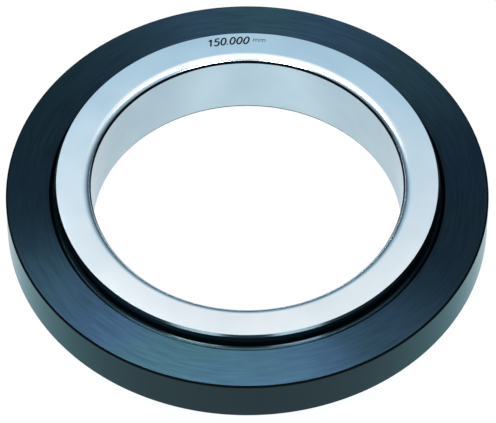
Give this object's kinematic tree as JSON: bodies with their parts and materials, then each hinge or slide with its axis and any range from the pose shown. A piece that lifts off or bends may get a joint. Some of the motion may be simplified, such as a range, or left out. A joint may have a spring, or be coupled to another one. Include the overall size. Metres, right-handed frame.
{
  "type": "setting ring gauge",
  "caption": "Flanged steel master ring with a ground gauge bore, a bright raised hub face at each end and a black flange around it, for setting bore gauges.",
  "frame": {"origin": "centre of the lower hub face, which the ring rests on", "axes": "+Z along the bore's axis, up. The ring is round and the same both ways up, so +X and +Y are free; +Y points to the marking on the upper hub face."},
  "size_m": [0.232, 0.232, 0.039],
  "materials": {
    "ring_steel": "ground and lapped bright on the hub's faces and in the bore, black-oxided as turned on the flange and the hub's wall"
  },
  "bodies": {
    "root": {"gauge_ring": "ring_steel"}
  },
  "joints": []
}
